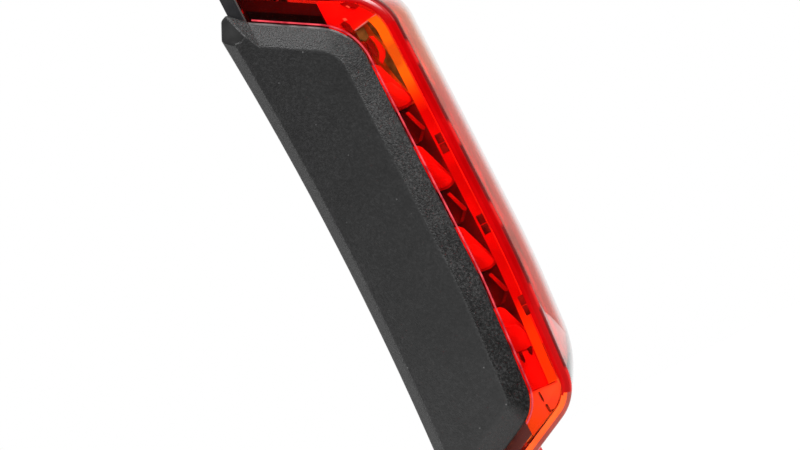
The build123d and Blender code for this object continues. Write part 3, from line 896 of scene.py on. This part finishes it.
def makeFlange(toe):
    # rear flange that grips the mudguard's side, with its three pegs
    s = coverShape
    heel, ear = s["top"] - s["heelDrop"], s["top"] + s["earRise"] - s["cornerRound"]
    back = [toe + (heel - toe) * k / s["backSteps"] for k in range(s["backSteps"] + 1)]
    side = [(s["flangeFront"], toe + s["flangeLow"])]
    side += [(backCurve(max(z, s["bottom"])), z) for z in back] + [(0, ear), (s["flangeFront"], ear)]
    start = s["inner"] - s["flangeWidth"]
    flange = drawSlab("coverFlange", side, start, s["flangeWidth"] + s["flangeLap"])
    soften(flange, s["flangeRound"], 2, 40)
    low, high = s["pegSpan"]
    return [flange] + [
        bar("peg", (start + s["pegIn"], low, z), (start + s["pegIn"], high, z), s["pegRadius"], s["pegSides"])
        for z in s["pegPlaces"]]


def makeCover():
    s = coverShape
    foot = coverOutline(0, 0)
    cover = drawOutline("coverRight", [(s["inner"], y, z) for y, z in foot])
    pull((s["foot"] - s["inner"], 0, 0))
    bpy.ops.mesh.delete(type="ONLY_FACE")
    closeEdit()
    face = drawOutline("coverFace", [(s["outer"], y, z) for y, z in coverOutline(s["bevel"], s["backBevel"])])
    closeEdit()
    joinInto(cover, [face])
    openEdit(cover)
    pick(cover, "EDGE", lambda a, b: abs(a.x - b.x) < nearly and a.x > s["foot"] - nearly)
    bpy.ops.mesh.bridge_edge_loops()
    closeEdit()
    tidyNormals(cover)
    soften(cover, s["edgeRound"], 3, 18)
    toe = foot[-s["backSteps"]][1]
    return joinInto(cover, makeFlange(toe))


def outset(points, reach):
    # the outline moved outwards by a reach, corner by corner
    moved = []
    for i, (y, z) in enumerate(points):
        (ya, za), (yb, zb) = points[i - 1], points[(i + 1) % len(points)]
        dy, dz = yb - ya, zb - za
        size = math.hypot(dy, dz)
        moved.append((y + dz / size * reach, z - dy / size * reach))
    return moved


beadShape = {
    "gap": 0.13,
    "width": 0.2,
    "height": 0.12,
    "backEnd": -3.0,
    "starts": (-2.45, -2.6),
    "deepFrom": -8.0,
    "edgeRound": 0.03,
}


def makeBead():
    # thin raised bead on the lens's side wall, along the cover's edge
    b = beadShape
    edge = [onTopSlope(y, coverShape["top"]) for y in b["starts"]]
    edge += [place for place in coverOutline(0, 0)[3:] if place[0] < b["backEnd"]]
    near, far = outset(edge, b["gap"]), outset(edge, b["gap"] + b["width"])
    bead = drawSlab("lensBeadRight", near[1:-1] + far[-2:0:-1], light["halfWidth"], b["height"])
    soften(bead, b["edgeRound"], 2, 40)
    smooth(bead)
    return bead


c = coverShape
coverRight = makeCover()
smooth(coverRight, 30)
dress(coverRight, "coverPlastic", "coverEdge", "coverRimPaintedHighlight", "coverPaintedShade")
paint(coverRight, 1, lambda place, n: n.x < c["flatTurn"])
# painted highlight: a paler finish on the rounded top and front edge of the cover
paint(coverRight, 2, lambda place, n: (
    place.y < c["paintedHighlightFrom"] and abs(place.x - c["foot"]) < c["paintedHighlightReach"]
    and c["paintedHighlightTurn"][0] < n.x < c["paintedHighlightTurn"][1] and n.z > c["paintedHighlightUp"]))
# painted shade: the ear's facet that looks back gets a darker finish
paint(coverRight, 3, lambda place, n: (
    place.z > c["earShadeFrom"] and place.y > c["earShadeFront"] and c["earShadeTurn"] < n.x < c["flatTurn"] and n.y > 0))
settlePair(coverRight, "cover", ("cheek_right", "cheek_left"))
beadRight = makeBead()
dress(beadRight, "beadRed", "beadDeep")
paint(beadRight, 1, lambda place, n: place.y > beadShape["deepFrom"])
settlePair(beadRight, "lensBead", (None, None))
print("covers made:", len(coverRight.data.polygons), "faces each")


# side reflectors: bright wedges and chevrons in cells darkened by painted shade, caps at both ends, the lower
# one pale with painted light from behind

cellShape = {
    "top": 19.3,
    "pitch": 9.1,
    "count": 4,
    "bottom": -20.95,
    "inner": 12.1,
    "outer": 15.65,
    "back": -9.3,
    "front": -13.6,
    "strip": 0.5,
    "stripTop": 20.1,
    "stripLow": -16.95,
    "web": 0.25,
    "backlitAmberWeb": (12.2, 12.5),
    "backlitAmberTop": 19.9,
    "edgeRound": 0.08,
    "capRound": 0.12,
    "patchRound": 0.03,
}

# what stands in a cell: finish, depths between which it lies, rounded edge, outline in shares of the cell
inCell = {
    "wedge": ("reflectorBright", 12.2, 15.4, 0.06, [
        (0.99, 0.96), (0.93, 0.985), (0.78, 1.005), (0.62, 0.995), (0, 0.97),
        (0, 0.374), (0.58, 0.43), (0.66, 0.47), (0.98, 0.9)]),
    "facet": ("reflectorBright", 15.35, 15.65, 0.12, [
        (0.97, 0.955), (0.78, 0.985), (0.4, 0.95), (0.3, 0.62), (0.72, 0.68), (0.96, 0.91)]),
    "ridge": ("reflectorBright", 12.2, 15.15, 0.07, [
        (0.67, 0.055), (0.76, 0.05), (0.94, 0.29), (0.9, 0.315), (0.83, 0.29)]),
    "lowRidge": ("reflectorPaintedHalfShade", 12.2, 14.95, 0.07, [
        (0.84, 0.295), (0.92, 0.31), (0.735, 0.405), (0.645, 0.4)]),
    "hollow": ("reflectorPaintedShade", 12.2, 14.05, 0.07, [
        (0.4, 0.02), (0.68, 0.02), (0.86, 0.29), (0.66, 0.41), (0.4, 0.41)]),
}

# slices of the room inside the rim: finish, inset, back, height of both ends, and how far those lean
capShape = {
    "topCap": ("reflectorBright", 1.3, -9.3, (19.1, 29.35), (0.175, 0)),
    "redCap": ("reflectorBright", 2.1, -9.3, (-20.8, -16.95), (-0.06, 0)),
    # the lower cap is pale with painted light from behind
    "lowCap": ("capPaintedBacklight", 1.12, -8.75, (-31.4, -20.8), (0, -0.06)),
}

# small facets, glints and recesses in side view, with the depths that they lie between; the dark ones are
# painted shade and the glints are painted highlights
topPatches = [
    ("cellOlivePaintedShade", 15.0, 15.2, [
        (-11.47, 19.23), (-12.47, 19.37), (-12.47, 18.23), (-12.0, 17.97), (-11.53, 18.23)]),
    ("cellOlivePaintedShade", 15.0, 15.2, [
        (-12.87, 19.5), (-13.33, 19.54), (-13.47, 18.1), (-13.4, 17.03), (-13.07, 18.23)]),
    ("cellOlivePaintedShade", 15.0, 15.2, [
        (-12.67, 15.83), (-13.4, 16.37), (-13.49, 15.17), (-13.57, 11.7),
        (-13.47, 11.7), (-13.07, 13.17), (-12.8, 14.63)]),
    ("reflectorPaintedShade", 15.21, 15.35, [
        (-12.0, 17.9), (-12.47, 17.97), (-12.6, 17.3), (-12.53, 16.37), (-12.27, 15.83), (-11.97, 16.5)]),
    ("reflectorPaintedHalfShade", 15.0, 15.2, [
        (-11.47, 18.1), (-11.97, 17.83), (-11.97, 15.97), (-11.87, 14.9), (-11.4, 14.9)]),
    ("reflectorBright", 15.36, 15.5, [
        (-12.43, 18.21), (-12.87, 18.07), (-13.23, 17.03), (-13.31, 16.17), (-13.0, 15.63), (-12.4, 15.1),
        (-12.23, 15.59), (-12.64, 16.26), (-12.72, 17.3), (-12.53, 17.97)]),
    ("ledge", 15.66, 15.72, [(-11.47, 19.47), (-14.13, 19.93), (-14.13, 19.76), (-11.47, 19.3)]),
    ("reflectorPaintedShade", 15.66, 15.74, [
        (-11.33, 22.5), (-12.0, 22.39), (-12.67, 21.97), (-12.96, 21.41),
        (-12.53, 21.27), (-12.13, 21.63), (-11.67, 22.03)]),
    ("paintedGlint", 15.75, 15.82, [(-11.76, 21.99), (-11.93, 21.99), (-12.16, 21.67), (-11.97, 21.63)]),
    ("reflectorPaintedHalfShade", 15.66, 15.74, [
        (-10.51, 20.63), (-10.93, 20.73), (-11.33, 20.17), (-11.36, 19.33), (-11.09, 19.23), (-10.73, 19.83)]),
    ("paintedGlint", 15.75, 15.82, [(-10.91, 21.01), (-11.2, 20.93), (-11.31, 20.63), (-10.96, 20.7)]),
]
lowPatches = [
    ("reflectorPaintedDeepShade", 15.66, 15.72, [
        (-11.31, -16.77), (-11.63, -16.83), (-11.6, -17.77), (-11.44, -18.03), (-11.25, -17.5)]),
    ("reflectorPaintedDeepShade", 15.66, 15.72, [
        (-12.23, -16.83), (-12.73, -16.74), (-12.67, -17.3), (-12.43, -17.63), (-12.27, -17.37)]),
    ("guideMark", 15.66, 15.72, [
        (-11.27, -21.23), (-11.43, -21.23), (-11.44, -22.03), (-11.36, -22.43), (-11.25, -22.03)]),
    ("guideMark", 15.66, 15.72, [
        (-11.33, -22.63), (-11.53, -22.63), (-11.57, -23.37), (-11.87, -23.39), (-11.87, -23.5),
        (-11.36, -23.53)]),
]


def drawnBar(name, side, low, high, rounding):
    piece = drawSlab(name, side, low, high - low)
    soften(piece, rounding, 2, 25)
    return piece


def makeCells():
    c = cellShape
    room = c["front"] - c["back"]

    def made(*names):
        pieces = []
        for name in names:
            finishName, low, high, rounding, shares = inCell[name]
            side = [(c["back"] + room * across, c["top"] - c["pitch"] * down) for across, down in shares]
            pieces.append(drawnBar(name, side, low, high, rounding))
            dress(pieces[-1], finishName)
        return joinInto(pieces[0], pieces[1:])

    cell = made("wedge", "facet", "ridge", "lowRidge", "hollow")
    lower = [copied(cell, "cell", (0, 0, -c["pitch"] * number)) for number in range(1, c["count"])]
    bpy.data.objects.remove(cell)
    return joinInto(made("wedge", "facet"), lower)


def makeStrip():
    c = cellShape
    inner, back, low = c["inner"], c["back"], c["stripLow"]
    strip = block("cellStrip", (inner, back - c["strip"], low), (c["outer"], back, c["stripTop"]))
    web = block("cellWeb", (inner, c["front"], low), (inner + c["web"], back, c["top"]))
    joinInto(strip, [web])
    soften(strip, c["edgeRound"], 2)
    return strip


def makeCap(name):
    c = cellShape
    finishName, inset, back, (low, high), (lowLean, highLean) = capShape[name]
    cap = drawSlab(name, rimSide(inset), c["inner"], c["outer"] - c["inner"])
    trim(cap, (0, c["back"], low), (0, -lowLean, -1))
    trim(cap, (0, c["back"], high), (0, highLean, 1))
    trim(cap, (0, back, 0), (0, 1, 0))
    soften(cap, c["capRound"], 2, 25)
    smooth(cap)
    dress(cap, finishName)
    return cap


def makePatches(name, patches):
    pieces = []
    for finishName, low, high, points in patches:
        pieces.append(drawnBar(name, points, low, high, cellShape["patchRound"]))
        dress(pieces[-1], finishName)
    return joinInto(pieces[0], pieces[1:])


# painted light: an amber sheet at the back of the top cell, where light from behind shows through
def makeBacklitAmberWeb():
    c = cellShape
    low, high = c["backlitAmberWeb"]
    web = block("backlitAmberWeb", (low, c["front"], c["top"] - c["pitch"]), (high, c["back"], c["backlitAmberTop"]))
    soften(web, c["edgeRound"], 2)
    return web


cellWedges = makeCells()
smooth(cellWedges, 25)
cellStrip = makeStrip()
smooth(cellStrip)
dress(cellStrip, "reflectorPaintedDeepShade")
caps = [(makeCap(name), name) for name in capShape]
topFacets = makePatches("topFacets", topPatches)
lowPaintedRecessShade = makePatches("lowPaintedRecessShade", lowPatches)
backlitAmberWeb = makeBacklitAmberWeb()
dress(backlitAmberWeb, "cellPaintedBacklight")
for right, name in [(cellWedges, "cellWedges"), (cellStrip, "cellStrip")] + caps + [
        (topFacets, "topFacets"), (lowPaintedRecessShade, "lowPaintedRecessShade"), (backlitAmberWeb, "backlitAmberWeb")]:
    settlePair(right, name, ("side_reflector_right", "side_reflector_left"))
print("side reflectors made")


# light guides: bars along the rim, marked at the middle of every cell

guideShape = {
    "inset": 1.15,
    "depth": 0.95,
    "topReach": 0.5,
    "inner": 13.5,
    "outer": 15.8,
    "markPlace": 0.53,     # share of the cell's height
    "markLength": 2.1,
    "markWidth": 0.72,
    "markBar": 0.07,
    "markDepths": (15.7, 15.83),
    "markFront": 0.02,
    "markRound": 0.03,
}


def makeGuide():
    g, c = guideShape, cellShape
    width, overrun = g["outer"] - g["inner"], lensShape["overrun"]
    guide = drawSlab("guideRight", rimSide(g["inset"]), g["inner"], width)
    room = rimSide(g["inset"] + g["depth"])
    cutWith(guide, drawSlab("guideRoom", room, g["inner"] - overrun, width + 2 * overrun))
    trim(guide, (0, 0, c["top"] + g["topReach"]), (0, 0, 1))
    trim(guide, (0, 0, c["bottom"]), (0, 0, -1))
    return guide


def makeMarks():
    # dark marks in the guide, each in two parts with a bar between them
    g, c = guideShape, cellShape
    front = light["rimFront"] + g["inset"]
    near, far = g["markDepths"]
    marks = []
    for number in range(1, c["count"]):
        middle = c["top"] - (number + g["markPlace"]) * c["pitch"]
        for side in (-1, 1):
            low, high = sorted((middle + side * g["markBar"] / 2, middle + side * g["markLength"] / 2))
            marks.append(block(
                "guideMarks", (near, front + g["markFront"], low), (far, front + g["markWidth"], high)))
            soften(marks[-1], g["markRound"], 2)
    return joinInto(marks[0], marks[1:])


guideRight = makeGuide()
smooth(guideRight)
dress(guideRight, "guide")
marksRight = makeMarks()
smooth(marksRight)
dress(marksRight, "guideMark")
for right, name in ((marksRight, "guideMarks"), (guideRight, "guide")):
    settlePair(right, name, ("light_guide_right", "light_guide_left"))
print("light guides made")


# painted shade: a black strip on the tray's outside, in line with the cover's top edge, standing for the
# shadow above the cover
shadeStripShape = {
    "back": -2.65,
    "front": -9.15,
    "gap": 0.2,
    "width": 0.95,
    "start": 15.6,
    "rise": 0.12,
    "edgeRound": 0.04,
}


def makeShadeStrip():
    s = shadeStripShape
    low, high = [coverShape["top"] + out / math.cos(topSlope) for out in (s["gap"], s["gap"] + s["width"])]
    ends = ((s["back"], low), (s["front"], low), (s["front"], high), (s["back"], high))
    side = [onTopSlope(y, height) for y, height in ends]
    return drawnBar("trayShadeStripRight", side, s["start"], s["start"] + s["rise"], s["edgeRound"])


shadeStripRight = makeShadeStrip()
dress(shadeStripRight, "stripPaintedShade")
settlePair(shadeStripRight, "trayShadeStrip", (None, None))


# reflex reflector: crowned plate under the lens, with rows of raised prism tiles

reflexShape = {
    "half": 12.0,
    "low": -17.1,
    "high": 19.2,
    "back": -13.3,
    "inset": 1.35,
    "columns": 20,
    "rows": 32,
    "closest": 0.2,        # lines nearer than this are merged before the tiles are raised
    "tileInset": 0.1,
    "tileRise": 0.09,
    "frontTurn": -0.8,     # a face that looks forward more than this belongs to the front
}


def makeReflex():
    r = reflexShape
    plate = crownedSlab("reflexPlate", r["inset"], r["half"], r["columns"])
    closeEdit()
    trim(plate, (0, 0, r["high"]), (0, 0, 1))
    trim(plate, (0, 0, r["low"]), (0, 0, -1))
    trim(plate, (0, r["back"], 0), (0, 1, 0))
    for row in range(1, r["rows"]):
        score(plate, (0, 0, r["low"] + (r["high"] - r["low"]) * row / r["rows"]), (0, 0, 1))
    openWhole(plate)
    bpy.ops.mesh.remove_doubles(threshold=r["closest"] * mm)
    pick(plate, "FACE", lambda c, n: n.y < r["frontTurn"])
    bpy.ops.mesh.inset(thickness=r["tileInset"] * mm, depth=r["tileRise"] * mm, use_individual=True)
    closeEdit()
    return plate


reflexPlate = makeReflex()
dress(reflexPlate, "reflexPrisms")
settle(reflexPlate, "retroreflector")
print("reflex reflector made:", len(reflexPlate.data.polygons), "faces")


# stage, in metres: a pale floor in a white room, and dark cards out of view

stageShape = {
    "floorHeight": -0.031,
    "floorSize": 4.0,
    "nearFloor": 0.05,
    "farFloor": 0.22,
    "floorGlow": 0.6,
    "floorColour": (0.93, 0.93, 0.925, 1),
    "floorRough": 0.8,
    "white": (1, 1, 1, 1),
    "worldLight": 0.62,
}

cardShape = {
    "front": {
        "place": (-0.18, -0.24, 0.0), "size": 0.5, "solid": 0.11, "clear": 0.24, "colour": (0.02, 0.02, 0.02)},
    "side": {
        "place": (-0.15, -0.005, 0.01), "size": 0.26, "solid": 0.05, "clear": 0.12,
        "colour": (0.02, 0.02, 0.02)},
    "crown": {
        "place": (0.33, -0.223, 0.0), "size": 0.34, "solid": 0.1, "clear": 0.17, "colour": (0.4, 0.22, 0.2)},
}


def seenRays(tree):
    # 1 on rays from the camera, straight, mirrored or through the lens
    path = addNode(tree, "LightPath").node.outputs
    direct = maths(tree, "MAXIMUM", path["Is Camera Ray"], path["Is Glossy Ray"])
    return maths(tree, "MAXIMUM", direct, path["Is Transmission Ray"])


def fromMiddle(tree, place=(0, 0, 0)):
    return addNode(tree, "VectorMath", {0: placeOn(tree), 1: place}, output="Value", operation="DISTANCE")


def blended(tree, share, first, second):
    mix = addNode(tree, "MixShader", {0: share, 1: first, 2: second})
    feed(tree.nodes["Material Output"], {"Surface": mix})


def makeFloorFinish():
    # the floor runs out into the white backdrop and keeps the shadow near the light
    s = stageShape
    material, tree, shader = newFinish("paleFloor", {
        "Base Color": s["floorColour"], "Roughness": s["floorRough"]})
    glow = mapped(tree, fromMiddle(tree), (s["floorGlow"], 1.0), (s["nearFloor"], s["farFloor"]))
    share = maths(tree, "MULTIPLY", glow, seenRays(tree))
    blended(tree, share, shader.outputs[0], addNode(tree, "Emission", {"Strength": 1.0}))
    return material


def makeCardFinish(name, card):
    # dark in the middle and clear at its edges, so that its reflection has no hard border
    material, tree, shader = newFinish(name, {
        "Base Color": (*card["colour"], 1), "Roughness": 0.9, "Specular IOR Level": 0.0})
    fade = mapped(
        tree, fromMiddle(tree, card["place"]), (1.0, 0.0), (card["solid"], card["clear"]),
        interpolation_type="SMOOTHSTEP")
    blended(tree, fade, addNode(tree, "BsdfTransparent"), shader.outputs[0])
    return material


def makeFloor():
    pickNothing()
    bpy.ops.mesh.primitive_plane_add(size=stageShape["floorSize"], location=(0, 0, stageShape["floorHeight"]))
    floor = added("floor")
    floor.data.materials.append(makeFloorFinish())


def makeCard(name, card):
    # keeps white out of the side wall or the crown, and isn't seen itself
    towards = -Vector(card["place"]).normalized()
    pickNothing()
    bpy.ops.mesh.primitive_plane_add(
        size=card["size"], location=card["place"], rotation=towards.to_track_quat("Z", "Y").to_euler())
    piece = added(name)
    piece.data.materials.append(makeCardFinish(name, card))
    piece.visible_camera = piece.visible_shadow = piece.visible_diffuse = False


def makeRoom():
    world = bpy.data.worlds.new("paleRoom")
    bpy.context.scene.world = world
    world.use_nodes = True
    tree = world.node_tree
    tree.nodes.clear()
    room, backdrop = [
        addNode(tree, "Background", {"Color": stageShape["white"], "Strength": strength})
        for strength in (stageShape["worldLight"], 1.0)]
    mix = addNode(tree, "MixShader", {0: seenRays(tree), 1: room, 2: backdrop})
    feed(tree.nodes.new("ShaderNodeOutputWorld"), {"Surface": mix})


lampShape = {
    "front": {"place": (-0.3, -0.45, 0.3), "size": 0.3, "power": 4.2},
    "above": {"place": (-0.15, 0.1, 0.55), "size": 0.35, "power": 3.4},
    "rear": {"place": (-0.35, 0.5, 0.1), "size": 0.3, "power": 2.0},
}


def makeLamp(name, lamp):
    pickNothing()
    bpy.ops.object.light_add(type="AREA", location=lamp["place"])
    piece = bpy.context.active_object
    piece.name = name
    piece.data.size = lamp["size"]
    piece.data.energy = lamp["power"]
    piece.rotation_euler = (-piece.location.normalized()).to_track_quat("-Z", "Y").to_euler()


cameraShape = {
    "distance": 1.0,
    "nearSide": 0.0175,    # the frame is 80 mm wide at the near side of the light
    "frameWidth": 0.08,
    "middle": (-0.0066, 0.0),
    "roll": 27.2,
    "sensor": 36,
    "clip": (0.01, 20),
}


def makeCamera():
    s = cameraShape
    pickNothing()
    bpy.ops.object.camera_add(location=(-s["distance"], *s["middle"]))
    camera = bpy.context.active_object
    camera.name = "photoCamera"
    # looks along +X; the light's long axis leans to the left by the roll
    a = math.radians(s["roll"])
    across, upright = (0, -math.cos(a), -math.sin(a)), (0, -math.sin(a), math.cos(a))
    camera.rotation_euler = Matrix((across, upright, (-1, 0, 0))).transposed().to_euler()
    camera.data.sensor_width = s["sensor"]
    camera.data.lens = s["sensor"] * (s["distance"] - s["nearSide"]) / s["frameWidth"]
    camera.data.clip_start, camera.data.clip_end = s["clip"]
    bpy.context.scene.camera = camera


makeFloor()
for name, card in cardShape.items():
    makeCard(name + "Card", card)
makeRoom()
for name, lamp in lampShape.items():
    makeLamp(name + "Lamp", lamp)
makeCamera()
bpy.context.scene.view_settings.view_transform = "Standard"
print("stage made")

bpy.context.view_layer.update()
